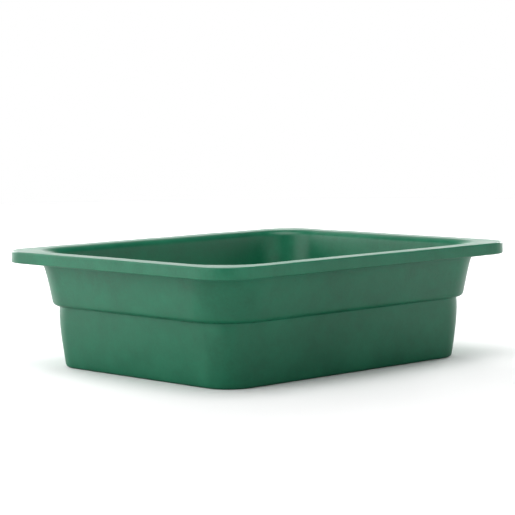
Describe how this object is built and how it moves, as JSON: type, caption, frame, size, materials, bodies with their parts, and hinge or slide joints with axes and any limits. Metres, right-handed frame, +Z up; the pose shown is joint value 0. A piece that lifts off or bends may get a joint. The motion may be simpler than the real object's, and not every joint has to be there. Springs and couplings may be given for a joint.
{
  "type": "food pan",
  "caption": "Deep rectangular pan with a wide flat rim, a stacking step halfway down its sloped walls and a flat base, coated all over in satin green resin.",
  "frame": {"origin": "middle of the flat base, on the surface that the pan stands on", "axes": "+X along the longer side of the rim, +Y along the shorter side, +Z up out of the open mouth"},
  "size_m": [0.324, 0.267, 0.0935],
  "materials": {
    "cast_aluminium": "as-cast, matt, sealed inside the coating",
    "green_resin": "deep green baked resin, satin, with a faint uneven skin"
  },
  "bodies": {
    "root": {"cast_core": "cast_aluminium", "resin_coating": "green_resin"}
  },
  "joints": []
}
